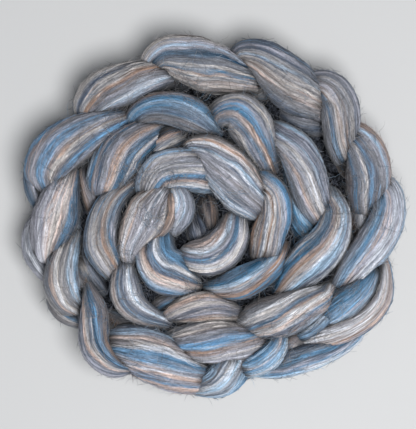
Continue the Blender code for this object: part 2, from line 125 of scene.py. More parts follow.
OUTER_LOBES = [Lobe(*row) for row in (
    ("n", ((84, 123, 6, 42), (85, 106, 13, 82), (101, 92, 19, 97), (126, 84, 21, 100),
      (150, 78, 17, 92), (168, 76, 12, 72), (182, 76, 8, 48)),
     "cream grey slate slate cream grey cream tan tan slate taupe lilac slate ice white ice lilac"
     " slate grey", 110),
    ("a", ((145, 79, 6, 42), (152, 61, 12, 80), (166, 54, 17, 95), (188, 59, 24, 100),
      (213, 68, 25, 100), (236, 77, 18, 92), (254, 83, 12, 70), (266, 88, 9, 48)),
     "taupe cream lilac cream lilac ice lilac deep deep blue slate grey slate cream grey blue tan"
     " cream grey cream peach taupe cream taupe", 110),
    ("o1", ((228, 65, 6, 42), (243, 52, 12, 80), (261, 57, 18, 96), (277, 70, 23, 100),
      (294, 87, 25, 100), (311, 99, 20, 92), (326, 108, 15, 70), (338, 116, 10, 48)),
     "slate blue slate lilac slate slate grey cream ice slate cream taupe cream taupe cream peach"
     " taupe grey taupe grey slate", 90),
    ("h0", ((246, 104, 4, 46), (254, 98, 6, 62), (264, 92, 7, 66), (274, 86, 5, 54)),
     "slate cream grey slate", 0),
    ("h1", ((276, 106, 8, 50), (292, 117, 12, 68), (309, 123, 12, 74), (325, 125, 11, 62),
      (338, 124, 7, 46)), "slate grey lilac grey slate grey", 20),
    ("o2", ((298, 88, 6, 42), (318, 80, 11, 76), (332, 88, 16, 96), (340, 104, 19, 100),
      (341, 122, 19, 100), (341, 140, 16, 92), (344, 154, 13, 78), (349, 166, 10, 56)),
     "slate slate lilac slate cream grey taupe lilac cream tan cream grey blue slate grey", 80),
    ("o3", ((338, 127, 6, 42), (354, 133, 13, 78), (364, 148, 19, 95), (369, 165, 22, 100),
      (369, 182, 22, 99), (366, 194, 20, 94), (364, 204, 16, 82), (364, 212, 11, 62),
      (364, 220, 6, 48)),
     "tan tan tan lilac ice lilac grey taupe grey taupe slate azure slate grey cream lilac grey slate"
     " blue slate taupe taupe dark", 90),
    ("h3", ((342, 156, 5, 44), (346, 174, 8, 54), (352, 193, 10, 60), (360, 211, 8, 54),
      (368, 228, 6, 44)), "dark taupe dark", 0),
    ("o4", ((367, 176, 6, 42), (385, 186, 13, 76), (390, 201, 16, 95), (386, 220, 18, 100),
      (375, 241, 19, 100), (361, 258, 17, 95), (350, 271, 15, 88), (343, 281, 12, 80),
      (338, 290, 9, 64), (335, 297, 6, 50)),
     "ice ice lilac white lilac white lilac peach lilac blue azure blue ice slate grey slate taupe"
     " dark", 45),
    ("h4", ((374, 205, 5, 46), (366, 219, 8, 62), (357, 236, 11, 72), (349, 252, 11, 72),
      (343, 266, 8, 62), (339, 280, 5, 46)), "slate grey lilac grey dark", 30),
    ("o5", ((379, 268, 6, 54), (371, 280, 10, 78), (360, 293, 14, 94), (346, 305, 17, 98),
      (332, 315, 16, 90), (318, 324, 11, 70), (308, 331, 6, 48)),
     "grey lilac slate lilac grey ice lilac azure ice azure azure blue blue blue blue taupe dark", 20),
    ("o5b", ((382, 252, 4, 50), (386, 264, 5, 70), (387, 278, 6, 84), (385, 292, 8, 92),
      (378, 306, 10, 96), (366, 318, 11, 97), (350, 328, 12, 95), (332, 335, 12, 92),
      (316, 339, 11, 84), (303, 343, 9, 70), (292, 347, 5, 48)),
     "azure blue peach tan peach cream white cream white lilac cream grey", 20),
    ("h6", ((388, 256, 5, 44), (378, 270, 9, 60), (362, 284, 10, 62), (346, 297, 7, 50)),
     "slate blue slate", 0),
    ("h7", ((312, 332, 6, 44), (300, 340, 9, 58), (287, 350, 9, 60), (272, 360, 7, 50)),
     "dark slate dark", 0),
    ("o6", ((357, 309, 5, 40), (358, 330, 9, 70), (342, 343, 11, 84), (322, 352, 13, 90),
      (301, 359, 14, 90), (281, 365, 13, 84), (263, 369, 10, 70), (248, 372, 7, 48)),
     "ice white ice azure lilac slate blue grey slate dark slate dark", 20),
    ("r6", ((289, 324, 6, 46), (283, 335, 8, 70), (276, 350, 11, 92), (264, 361, 12, 97),
      (250, 367, 10, 92), (238, 368, 7, 74), (227, 368, 5, 50)),
     "ice white white ice azure white peach ice azure azure ice azure", 15),
    ("r7", ((243, 340, 10, 46), (239, 353, 15, 72), (232, 367, 19, 90), (220, 380, 18, 92),
      (206, 386, 12, 84), (193, 388, 7, 64), (181, 379, 5, 40)),
     "azure ice azure taupe white ice white cream taupe slate taupe ice azure ice azure", 70),
    ("l5", ((222, 386, 9, 46), (207, 382, 14, 68), (191, 377, 18, 88), (173, 369, 23, 98),
      (154, 358, 26, 100), (137, 348, 25, 98), (121, 343, 19, 90), (108, 342, 15, 72),
      (98, 338, 9, 50)),
     "lilac peach peach azure slate lilac peach white lilac grey ice azure azure blue azure white"
     " cream taupe taupe peach slate ice slate", 110),
    ("l4", ((140, 372, 2, 70), (130, 371, 3, 84), (117, 369, 9, 94), (104, 360, 13, 98),
      (95, 345, 15, 100), (94, 326, 15, 100), (94, 308, 13, 94), (90, 294, 8, 82), (86, 281, 4, 62),
      (84, 272, 3, 46)),
     "lilac slate lilac slate peach cream grey slate deep azure azure blue slate taupe tan taupe slate", 90),
    ("c3", ((94, 324, 7, 46), (82, 322, 8, 62), (70, 318, 9, 68), (59, 311, 9, 66), (52, 301, 7, 60),
      (57, 288, 5, 42)), "grey taupe cream slate blue slate taupe dark", 0),
    ("l3", ((80, 319, 6, 46), (73, 310, 10, 70), (65, 299, 15, 90), (61, 284, 18, 98),
      (62, 266, 16, 98), (67, 250, 13, 88), (73, 236, 9, 70), (77, 224, 6, 48)),
     "cream taupe grey slate taupe peach cream white cream grey taupe grey ice white ice blue slate", 60),
    ("l2b", ((60, 287, 6, 46), (49, 278, 8, 62), (40, 266, 10, 72), (33, 253, 11, 75), (30, 239, 9, 72),
      (31, 225, 7, 60), (43, 209, 5, 42)), "lilac grey white grey slate grey lilac slate", 20),
    ("l2", ((57, 275, 6, 42), (47, 263, 8, 66), (46, 249, 14, 88), (50, 233, 21, 99),
      (56, 215, 24, 100), (61, 197, 20, 96), (67, 181, 13, 82), (72, 166, 8, 60), (76, 153, 5, 44)),
     "lilac grey lilac lilac white lilac lilac peach white peach white cream taupe peach blue deep"
     " deep slate", 30),
    ("l1", ((48, 197, 5, 44), (44, 187, 11, 76), (43, 172, 20, 96), (57, 152, 24, 100),
      (80, 138, 23, 100), (101, 128, 18, 94), (119, 121, 14, 78), (134, 115, 9, 48)),
     "azure azure tan grey taupe lilac grey azure slate azure lilac lilac taupe tan cream cream taupe"
     " slate azure azure slate lilac grey taupe grey slate", 70),
    ("l1b", ((48, 220, 5, 42), (42, 208, 8, 64), (35, 195, 9, 78), (31, 181, 8, 80), (30, 168, 6, 66),
      (34, 156, 4, 50)), "slate blue deep slate grey lilac grey slate taupe slate dark", 20),
)]

INNER_LOBES = [Lobe(*row) for row in (
    ("b", ((128, 138, 6, 46), (131, 125, 8, 66), (139, 114, 12, 88), (155, 108, 15, 98),
      (175, 109, 18, 100), (193, 115, 17, 96), (207, 124, 12, 82), (219, 134, 7, 60),
      (228, 143, 4, 44)),
     "taupe tan slate blue blue azure ice azure blue blue slate slate grey taupe grey taupe grey slate", 0),
    ("r1", ((214, 127, 9, 52), (220, 113, 14, 82), (236, 111, 20, 98), (250, 124, 22, 100),
      (258, 140, 19, 96), (265, 156, 15, 82), (272, 170, 11, 62), (278, 184, 8, 46)),
     "grey cream lilac cream slate lilac azure azure blue tan peach taupe slate blue slate lilac slate"
     " cream taupe grey taupe slate", 30),
    ("h5", ((230, 130, 6, 50), (237, 139, 10, 68), (246, 149, 12, 72), (257, 161, 10, 66),
      (266, 173, 7, 50)), "slate grey taupe grey taupe", 0),
    ("r2", ((268, 124, 8, 50), (281, 135, 14, 82), (295, 149, 18, 98), (305, 168, 20, 100),
      (310, 189, 19, 98), (314, 206, 17, 90), (318, 217, 14, 80), (319, 227, 11, 58)),
     "taupe ice lilac slate lilac slate lilac slate ice lilac slate cream white cream lilac taupe"
     " peach lilac grey slate blue", 90),
    ("r2b", ((286, 160, 5, 50), (290, 178, 8, 66), (292, 198, 11, 76), (298, 218, 14, 80),
      (309, 233, 13, 72), (322, 243, 9, 56), (333, 250, 6, 44)),
     "deep blue azure blue ice blue deep blue deep slate", 10),
    ("r3", ((329, 184, 7, 46), (333, 199, 11, 76), (337, 214, 14, 94), (334, 230, 17, 100),
      (324, 247, 20, 101), (309, 262, 21, 100), (294, 276, 18, 90), (283, 289, 13, 70),
      (274, 301, 8, 48)),
     "cream grey white slate lilac ice blue ice white ice peach cream tan tan slate blue deep blue"
     " blue cream tan slate blue", 0),
    ("r4", ((337, 287, 7, 50), (333, 292, 12, 72), (325, 299, 15, 90), (313, 304, 18, 97),
      (297, 310, 21, 100), (276, 317, 22, 101), (258, 320, 19, 92), (245, 324, 12, 74),
      (235, 326, 7, 50)),
     "slate lilac azure ice tan tan slate azure white peach cream white cream tan slate blue blue"
     " slate grey cream white cream white cream grey taupe grey taupe", 110),
    ("r4s", ((335, 298, 4, 56), (333, 308, 6, 78), (326, 319, 7, 88), (315, 329, 7, 88),
      (303, 336, 6, 80), (291, 340, 5, 62), (283, 342, 4, 46)), "dark slate slate azure ice white ice", 0),
    ("r5", ((276, 342, 7, 46), (263, 343, 11, 70), (246, 344, 17, 90), (225, 342, 21, 99),
      (203, 341, 21, 99), (185, 340, 15, 88), (170, 340, 8, 68), (158, 340, 5, 46)),
     "lilac cream lilac white lilac cream lilac tan tan taupe azure ice azure azure lilac slate grey"
     " lilac taupe cream taupe cream grey", 130),
    ("m4", ((246, 318, 8, 46), (233, 315, 11, 70), (218, 310, 14, 88), (201, 308, 16, 94),
      (184, 310, 13, 88), (169, 315, 8, 70), (158, 320, 5, 48)),
     "taupe taupe cream tan cream slate slate lilac slate lilac cream lilac peach tan cream", 100),
    ("m3", ((175, 328, 5, 46), (165, 323, 7, 66), (152, 318, 10, 82), (139, 311, 13, 92),
      (129, 301, 15, 97), (125, 288, 16, 98), (124, 275, 13, 88), (124, 264, 9, 68), (125, 252, 6, 46)),
     "slate grey taupe cream peach cream slate blue slate slate lilac white ice white lilac slate"
     " taupe grey slate", 0),
    ("m3b", ((176, 342, 6, 44), (158, 332, 8, 52), (138, 326, 7, 54), (118, 330, 6, 46)),
     "slate blue dark", 0),
    ("g1", ((112, 308, 6, 44), (104, 296, 8, 58), (95, 282, 10, 66), (88, 268, 10, 70),
      (84, 253, 8, 66), (82, 238, 6, 50)), "slate grey lilac slate dark slate", 60),
    ("g2", ((190, 296, 5, 50), (178, 299, 9, 66), (166, 303, 10, 70), (156, 309, 8, 64),
      (150, 316, 5, 50)), "slate deep blue slate taupe cream", 20),
    ("m2", ((113, 281, 6, 46), (110, 271, 11, 74), (105, 259, 15, 92), (100, 246, 17, 98),
      (101, 228, 16, 99), (107, 209, 14, 95), (118, 194, 11, 84), (132, 184, 8, 68), (144, 176, 6, 48)),
     "slate blue slate azure grey cream lilac cream taupe cream grey tan cream slate blue slate lilac"
     " grey slate", 60),
    ("s1", ((100, 228, 6, 50), (96, 216, 9, 64), (92, 202, 10, 71), (87, 188, 9, 73), (83, 174, 8, 66),
      (81, 160, 6, 50)), "dark taupe tan peach taupe lilac grey lilac slate grey taupe slate", 0),
    ("m1", ((97, 201, 6, 46), (99, 192, 11, 70), (103, 181, 18, 90), (111, 166, 22, 99),
      (122, 152, 23, 101), (138, 141, 20, 98), (152, 134, 15, 86), (162, 129, 10, 66),
      (170, 126, 6, 48)),
     "lilac ice slate azure slate tan grey slate blue slate lilac grey lilac taupe tan peach tan peach"
     " cream lilac blue deep blue slate cream lilac slate blue deep slate dark", 90),
    ("m1b", ((138, 160, 6, 50), (149, 151, 10, 74), (161, 143, 13, 86), (173, 137, 12, 78),
      (184, 134, 8, 60), (192, 132, 5, 46)),
     "taupe slate grey slate tan grey slate cream slate blue slate", 50),
)]

CENTRE_LOBES = [Lobe(*row) for row in (
    ("i3", ((184, 150, 7, 55), (195, 147, 13, 84), (209, 152, 19, 98), (224, 166, 24, 101),
      (239, 184, 24, 100), (250, 198, 21, 96), (258, 206, 17, 88), (262, 212, 12, 74),
      (266, 218, 8, 54)),
     "taupe grey taupe cream peach tan peach white cream slate lilac slate ice white slate lilac grey"
     " lilac taupe grey taupe lilac grey slate lilac ice white azure white ice", 60),
    ("i2", ((146, 200, 8, 50), (149, 184, 15, 86), (160, 172, 20, 98), (178, 169, 21, 100),
      (196, 171, 22, 94), (212, 176, 19, 74), (226, 182, 12, 46)),
     "slate azure ice lilac white cream lilac taupe cream lilac grey cream lilac grey cream lilac blue"
     " azure slate tan peach cream white azure azure ice azure", 60),
    ("i4", ((252, 172, 7, 50), (264, 181, 12, 80), (275, 196, 14, 94), (275, 216, 16, 98),
      (269, 234, 17, 98), (266, 246, 16, 92), (263, 255, 13, 74), (261, 264, 9, 50)),
     "taupe azure azure azure blue azure lilac ice lilac cream peach slate blue cream white tan tan"
     " cream white slate cream tan slate taupe cream taupe tan", 70),
    ("i5", ((292, 238, 7, 46), (285, 251, 10, 70), (275, 264, 12, 88), (258, 275, 15, 97),
      (239, 284, 16, 99), (223, 287, 12, 86), (210, 287, 8, 66), (200, 287, 5, 46)),
     "slate blue deep blue tan tan lilac ice cream ice blue deep blue slate", 80),
    ("i6", ((203, 289, 6, 46), (192, 286, 11, 72), (179, 279, 19, 92), (165, 269, 25, 101),
      (157, 256, 22, 99), (157, 242, 17, 86), (160, 229, 11, 62), (163, 218, 6, 46)),
     "slate azure ice lilac lilac cream peach cream peach tan slate slate azure slate white cream"
     " azure blue azure blue azure blue deep slate", 80),
    ("i1", ((128, 267, 5, 50), (128, 257, 9, 76), (130, 247, 13, 92), (139, 231, 20, 99),
      (151, 213, 24, 100), (162, 197, 16, 92), (170, 186, 8, 74), (176, 176, 5, 50)),
     "peach cream peach cream white cream white peach cream lilac lilac white lilac ice lilac white"
     " lilac lilac grey lilac cream grey taupe tan peach tan taupe", 50),
    ("i1b", ((171, 235, 7, 50), (173, 226, 11, 78), (178, 215, 15, 93), (181, 203, 14, 97),
      (178, 192, 10, 92), (173, 183, 4, 74)),
     "ice azure ice white ice lilac white lilac grey lilac grey slate", 0),
    ("i1c", ((171, 190, 4, 84), (172, 199, 5, 94), (172, 211, 5, 96), (168, 223, 6, 94),
      (161, 232, 5, 88), (151, 240, 4, 76)), "grey tan peach taupe tan grey", 0),
    ("i7", ((236, 213, 9, 54), (234, 225, 15, 82), (230, 238, 19, 96), (220, 250, 21, 100),
      (208, 256, 20, 99), (196, 257, 17, 94), (187, 255, 12, 82), (181, 252, 7, 60)),
     "slate slate grey lilac cream white cream lilac slate blue slate lilac grey ice white tan peach"
     " taupe grey taupe slate", 10),
    ("curl", ((205, 192, 9, 60), (207, 204, 11, 66), (209, 216, 10, 70), (211, 228, 7, 68),
      (213, 238, 4, 56)), "taupe tan dark taupe dark dark", 0),
    ("curl_b", ((193, 209, 4, 56), (195, 220, 9, 68), (198, 231, 12, 74), (200, 240, 11, 70),
      (201, 249, 6, 54)), "slate dark grey lilac slate dark", 20),
)]

# The lobes of the underside and of the rim lie in rings round the middle, in metres, leaning
# by some degrees and climbing towards one end.
Ring = namedtuple("Ring", "radius half_width half_length count lean climb belly")
PRESSED = -0.0030            # belly of a lobe that the ground presses flat
RIM_BELLY = 0.0170
UNDER_RINGS = (
    Ring(0.1180, 0.0180, 0.0300, 15, 26.0, 0.0, PRESSED),
    Ring(0.0870, 0.0170, 0.0290, 11, -32.0, 0.0, PRESSED),
    Ring(0.0560, 0.0170, 0.0270, 7, 30.0, 0.0, PRESSED),
    Ring(0.0280, 0.0150, 0.0220, 4, -32.0, 0.0, PRESSED),
    Ring(0.0000, 0.0160, 0.0220, 1, 30.0, 0.0, PRESSED),
    Ring(0.1190, 0.0150, 0.0300, 14, -8.0, 0.0110, RIM_BELLY),
)
# A ring's lobe, as (share of its half length, share of its half width).
SPINDLE = ((-1.0, 0.30), (-0.55, 0.82), (0.0, 1.0), (0.55, 0.82), (1.0, 0.30))
SPINDLE_LIFT = 0.010         # how far its two ends rise
RING_TONES = "slate lilac grey white taupe cream blue ice tan grey lilac cream slate white peach"
RING_BANDS = 12
RING_TWIST = 60.0            # degrees, either way

# Pinches and gaps where loose fibres gather: x, y and spread in squares, number of fibres.
FUZZ = (
    (118, 176, 9, 90), (172, 187, 7, 60), (131, 256, 6, 40), (180, 88, 8, 40),
    (262, 100, 10, 60), (272, 162, 9, 60), (336, 180, 10, 90), (338, 212, 7, 40),
    (212, 204, 10, 50), (194, 287, 6, 40), (172, 330, 8, 50), (146, 300, 6, 30),
    (246, 322, 8, 50), (290, 344, 9, 60), (334, 296, 7, 40), (318, 326, 10, 50),
    (108, 318, 6, 30), (80, 236, 7, 30), (112, 120, 9, 50), (60, 184, 8, 40),
    (186, 142, 7, 40), (222, 130, 7, 30), (300, 232, 8, 40), (366, 214, 8, 40),
    (84, 288, 6, 30), (200, 96, 10, 40), (352, 282, 6, 30), (240, 366, 7, 30),
    (153, 224, 7, 120), (141, 177, 5, 60),
)
EVEN_FUZZ = 900              # and loose fibres spread evenly over the coil
EVEN_FUZZ_RADIUS = 0.146
FUZZ_TONES = "white lilac cream ice grey lilac taupe blue cream"
SEED = 41


def luck_of(number):
    """A source of chance of its own for every lobe and piece, the same on each run."""
    return np.random.default_rng([SEED, number])


def over_ground(x, y):
    """Where a square of the chart lies, in metres."""
    return (x - MIDDLE_X) * SQUARE, (MIDDLE_Y - y) * SQUARE


def unit(vectors):
    """The same directions at length 1."""
    return vectors / np.maximum(np.linalg.norm(vectors, axis=-1, keepdims=True), 1e-9)


def new_object(name, data):
    """An object of that data in the scene."""
    thing = bpy.data.objects.new(name, data)
    bpy.context.scene.collection.objects.link(thing)
    return thing


# ---- camera ----
def place_camera():
    """Straight above the coil, from far enough off that the lobes' sides hardly show."""
    data = bpy.data.cameras.new("overhead")
    data.sensor_fit = "HORIZONTAL"
    data.sensor_width = 36.0
    data.lens = data.sensor_width * VIEW_DISTANCE / (VIEW_WIDE * SQUARE)
    data.clip_end = 20.0
    camera = new_object("overhead", data)
    camera.location = (*over_ground(VIEW_X, VIEW_Y), VIEW_LEVEL + VIEW_DISTANCE)
    bpy.context.scene.camera = camera


# ---- tones ----
def linear(tone):
    """A named tone as the shader takes it."""
    share = np.array(TONES[tone]) / 255.0
    return np.where(share <= 0.04045, share / 12.92, ((share + 0.055) / 1.055) ** 2.4)


def linear_tones(names):
    """The same for a row of names."""
    return np.array([linear(name) for name in names.split()])


def soft_field(luck, rows, columns, long_knots, wide_knots, spread):
    """A soft random surface over a lobe, read from a coarse grid of knots."""
    knots = luck.normal(0.0, spread, (long_knots, wide_knots))
    parts = []
    for count, knot_count in ((rows, long_knots), (columns, wide_knots)):
        at = np.linspace(0.0, knot_count - 1, count)
        low = np.minimum(at.astype(int), knot_count - 2)
        part = at - low
        parts.append((low, part * part * (3.0 - 2.0 * part)))
    (low_row, row_part), (low_column, column_part) = parts
    band = (knots[low_row] * (1.0 - row_part)[:, None]
            + knots[low_row + 1] * row_part[:, None])
    return (band[:, low_column] * (1.0 - column_part)
            + band[:, low_column + 1] * column_part)


def soft_bands(luck, place, tones, edges, middle):
    """Tones of the bands, each fading in and out along the lobe and soft at its sides."""
    middles = 0.5 * (edges[1:] + edges[:-1])
    reach = 0.5 * (edges[1:] - edges[:-1]) + 0.12 / len(tones)
    near = np.exp(-np.abs((place[..., None] - middles) / reach) ** 3.0) + 1e-6
    near /= near.sum(axis=-1, keepdims=True)
    long_knots = max(3, len(place) // 9)
    strength = soft_field(luck, len(place), len(tones), long_knots, len(tones), 0.40)
    strength = np.clip(0.85 + strength, 0.15, 1.25)
    return middle + (near * strength[:, None, :]) @ (tones - middle)


def lay_lock(luck, colour, tones, across, along):
    """A lock of a neighbouring tone over the bands, with pointed ends."""
    count = len(tones)
    start, reach = luck.uniform(-0.15, 0.85), luck.uniform(0.18, 0.45)
    part = np.clip((along - start) / reach, 0.0, 1.0)
    centre = luck.uniform(0.02, 0.98)
    drift, bow = luck.normal(0.0, 0.7 / count), luck.normal(0.0, 0.4 / count)
    line = centre + drift * (part - 0.5) + bow * np.sin(part * pi)
    half = luck.uniform(0.10, 0.42) / count * np.sin(part * pi) ** 0.7 + 1e-4
    cover = np.exp(-((across[None, :] - line) / half) ** 2) * luck.uniform(0.35, 0.9)
    cover = (cover * (part > 0.0) * (part < 1.0))[..., None]
    pick = int(centre * count) + int(luck.integers(-2, 3))
    tone = tones[min(max(pick, 0), count - 1)] * luck.uniform(0.75, 1.40)
    return colour * (1.0 - cover) + tone * cover


def streaks(luck, bands, across, length):
    """Colour of the fibres at every row (along) and column (across) of a lobe."""
    tones = linear_tones(bands)
    count, rows, columns = len(tones), len(length), len(across)
    long_knots = max(3, int(round(length[-1] / LOCK_LENGTH)) + 2)
    widths = luck.uniform(*BAND_WIDTHS, count)
    edges = np.concatenate(([0.0], np.cumsum(widths) / widths.sum()))
    middle = tones.mean(axis=0) * 0.5 + linear("grey") * 0.5
    step = tones - middle
    light_step = step.mean(axis=1, keepdims=True)
    tones = middle + LIGHT_STRENGTH * light_step + TINT_STRENGTH * (step - light_step)
    place = across[None, :]
    for knots, wide_knots, wander in ((long_knots, 5, BAND_WANDER),
                                      (long_knots + 2, columns // 3, STRAND_WANDER),
                                      (2 * long_knots, columns, HAIR_WANDER)):
        place = place + soft_field(luck, rows, columns, knots, wide_knots, wander / count)
    colour = soft_bands(luck, place, tones, edges, middle)
    along = np.linspace(0.0, 1.0, rows)[:, None]
    for _ in range(LOCKS_A_BAND * count):
        colour = lay_lock(luck, colour, tones, across, along)
    # single hairs and broad patches, lighter and darker
    light = 1.0 + soft_field(luck, rows, columns, 3 * long_knots, columns, 0.22)
    light = light + soft_field(luck, rows, columns, long_knots, 9, 0.08)
    return np.clip(colour * np.clip(light, 0.35, 2.0)[..., None], 0.0, 1.0)


# ---- shapes ----
def curve_through(points, spacing):
    """A smooth line through the stations (rows of numbers, first three a place)."""
    points = np.array(points, dtype=float)
    steps = np.linalg.norm(np.diff(points[:, :3], axis=0), axis=1)
    reach = np.concatenate(([0.0], np.cumsum(steps)))
    slopes = np.zeros_like(points)
    slopes[1:-1] = (points[2:] - points[:-2]) / (reach[2:] - reach[:-2])[:, None]
    slopes[0] = (points[1] - points[0]) / steps[0]
    slopes[-1] = (points[-1] - points[-2]) / steps[-1]
    rows = max(8, int(round(reach[-1] / spacing)))
    at = np.linspace(0.0, reach[-1], rows)
    low = np.clip(np.searchsorted(reach, at, side="right") - 1, 0, len(points) - 2)
    length = steps[low][:, None]
    part = ((at - reach[low]) / steps[low])[:, None]
    start = 2 * part ** 3 - 3 * part ** 2 + 1
    start_slope = part ** 3 - 2 * part ** 2 + part
    end = -2 * part ** 3 + 3 * part ** 2
    end_slope = part ** 3 - part ** 2
    line = (start * points[low] + start_slope * length * slopes[low]
            + end * points[low + 1] + end_slope * length * slopes[low + 1])
    return line, at


def lobe_line(lobe, spacing):
    """Rows of (x, y, z, half width) in metres along a lobe, and the way along each."""
    places = [(*over_ground(x, y), THICK * crown / 100.0 - FLATNESS * half * SQUARE, half * SQUARE)
              for x, y, half, crown in lobe.stations]
    line, way = curve_through(places, spacing)
    # both tips are drawn in over their last millimetres, so that they are round
    for end, from_tip in ((0, way), (-1, way[-1] - way)):
        share = np.clip(from_tip / (TIP_LENGTH * line[end, 3]), 0.02, 1.0)
        line[:, 3] *= np.sqrt(share * (2.0 - share))
    return line, way


def ring_line(ring, index, spacing):
    """The same for a lobe of a ring."""
    turn = 2.0 * pi * index / ring.count
    centre = np.array([cos(turn), sin(turn), 0.0]) * ring.radius
    heading = turn - pi / 2.0 - radians(ring.lean)
    ahead = np.array([cos(heading), sin(heading), 0.0]) * ring.half_length
    points = []
    for share, fullness in SPINDLE:
        half = ring.half_width * fullness
        belly = ring.belly + SPINDLE_LIFT * share * share + ring.climb * share
        place = centre + ahead * share + np.array([0.0, 0.0, belly + FLATNESS * half])
        points.append((*place, half))
    return curve_through(points, spacing)


def round_lobe(columns):
    """Angles of the columns of fibre round a lobe, from under its outer side over the top."""
    return np.linspace(-0.5 * pi, 1.5 * pi, columns, endpoint=False)


def band_place(angles):
    """Where the columns lie among the bands: 0 at the outer side, 1 at the inner side."""
    flat = 0.5 - 0.5 * np.cos(angles)
    folded = np.abs((angles / pi + 1.0) % 2.0 - 1.0)
    return 0.5 * (flat + folded)


def joined(field, width=8):
    """The last columns led over to the first, where a lobe closes underneath."""
    share = np.linspace(0.0, 1.0, width)
    share = share.reshape((1, width) + (1,) * (field.ndim - 2))
    field[:, -width:] = field[:, -width:] * (1.0 - share) + field[:, :1] * share
    return field


def tube_faces(rows, columns):
    """Faces of a tube of rows by columns: its sides, and the fans to its two poles."""
    row, column = np.meshgrid(np.arange(rows - 1), np.arange(columns), indexing="ij")
    beside = (column + 1) % columns
    sides = np.stack((row * columns + column, row * columns + beside,
                      (row + 1) * columns + beside, (row + 1) * columns + column), axis=-1)
    column, beside = np.arange(columns), (np.arange(columns) + 1) % columns
    last_row, pole = (rows - 1) * columns, np.full(columns, rows * columns)
    first_fan = np.stack((beside, column, pole), axis=-1)
    last_fan = np.stack((last_row + column, last_row + beside, pole + 1), axis=-1)
    return sides.reshape(-1, 4), first_fan, last_fan


class Wool:
    """Gathers the tubes of one piece: places, faces, tones and the way round and along."""

    def __init__(self):
        self.places, self.faces, self.tones, self.ways = [], [], [], []
        self.count = 0

    def tube(self, grid, colour, round_way, along_way):
        """A closed tube of rows by columns, with a pole at each end."""
        rows, columns, _ = grid.shape
        way = np.stack((np.broadcast_to(round_way, (rows, columns)),
                        np.broadcast_to(along_way[:, None], (rows, columns))), axis=-1)
        for gathered, values in ((self.places, grid), (self.tones, colour), (self.ways, way)):
            poles = np.stack((values[0].mean(axis=0), values[-1].mean(axis=0)))
            gathered.append(np.concatenate((values.reshape(-1, values.shape[-1]), poles)))
        self.faces.append([part + self.count for part in tube_faces(rows, columns)])
        self.count += rows * columns + 2

    def hairs(self, luck, paths, radii, colours, streak=0.03):
        """Many thin three-sided fibres at once: paths is fibres by points by 3."""
        fibres, points, _ = paths.shape
        ahead = unit(np.gradient(paths, axis=1))
        helper = np.where(np.abs(ahead[..., 2:3]) > 0.8, (1.0, 0.0, 0.0), (0.0, 0.0, 1.0))
        side = unit(np.cross(ahead, helper))
        up = np.cross(side, ahead)
        taper = np.sin(np.linspace(0.12, pi - 0.12, points)) ** 0.5
        radius = radii[:, None, None] * taper[None, :, None]
        corners = [paths + radius * (cos(turn) * side + sin(turn) * up) for turn in THIRDS]
        grid = np.stack(corners, axis=2).reshape(fibres, points * 3, 3)
        tips = np.stack((paths[:, 0] - ahead[:, 0] * radii[:, None] * 2.0,
                         paths[:, -1] + ahead[:, -1] * radii[:, None] * 2.0), axis=1)
        self.places.append(np.concatenate((grid, tips), axis=1).reshape(-1, 3))
        each = points * 3 + 2
        self.tones.append(np.repeat(colours, each, axis=0))
        way = np.concatenate((np.repeat(np.linspace(0.0, streak, points), 3), (0.0, streak)))
        offset = np.repeat(luck.uniform(0.0, 1.0, fibres), each)
        self.ways.append(np.stack((offset, np.tile(way, fibres)), axis=1))
        shift = (self.count + np.arange(fibres) * each)[:, None, None]
        self.faces.append([(part[None] + shift).reshape(-1, part.shape[1])
                           for part in tube_faces(points, 3)])
        self.count += fibres * each

    def piece(self, name, material):
        """The mesh of all that was gathered, with its tones and ways, as one dressed piece."""
        places = np.concatenate(self.places)
        quads = np.concatenate([sides for sides, _, _ in self.faces])
        tris = np.concatenate([fan for _, *fans in self.faces for fan in fans])
        corners = np.concatenate((quads.ravel(), tris.ravel()))
        starts = np.concatenate((np.arange(len(quads)) * 4,
                                 len(quads) * 4 + np.arange(len(tris)) * 3))
        mesh = bpy.data.meshes.new(name)
        mesh.vertices.add(len(places))
        mesh.vertices.foreach_set("co", places.astype(np.float32).ravel())
        mesh.loops.add(len(corners))
        mesh.loops.foreach_set("vertex_index", corners.astype(np.int32))
        mesh.polygons.add(len(starts))
        mesh.polygons.foreach_set("loop_start", starts.astype(np.int32))
        mesh.update(calc_edges=True)
        mesh.validate()
        mesh.polygons.foreach_set("use_smooth", np.ones(len(mesh.polygons), dtype=bool))
        tones = np.ones((len(places), 4), dtype=np.float32)
        tones[:, :3] = np.concatenate(self.tones)
        layer = mesh.color_attributes.new(name="tone", type="FLOAT_COLOR", domain="POINT")
        layer.data.foreach_set("color", tones.ravel())
        index = np.zeros(len(mesh.loops), dtype=np.int32)
        mesh.loops.foreach_get("vertex_index", index)
        ways = np.concatenate(self.ways).astype(np.float32)
        mesh.uv_layers.new(name="fibres").data.foreach_set("uv", ways[index].ravel())
        mesh.materials.append(material)
        thing = new_object(name, mesh)
        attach(thing, "root")
        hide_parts("braid")


def lobe_surface(line, angles, ridges):
    """Places of rows by columns round a line; ridges lift the skin, row by column."""
    ahead = unit(np.gradient(line[:, :3], axis=0))
    outward = unit(np.cross(np.array([0.0, 0.0, 1.0]), ahead))
    up = np.cross(ahead, outward)
    across = np.cos(angles)[..., None] * outward[:, None, :]
    above = FLATNESS * np.sin(angles)[..., None] * up[:, None, :]
    radius = (line[:, 3:4] + ridges)[..., None]
    return line[:, None, :3] + radius * (across + above)


# A finished lobe: its middle line, the way and the twist along it, its skin and colours.
Laid = namedtuple("Laid", "line way twist grid colour")


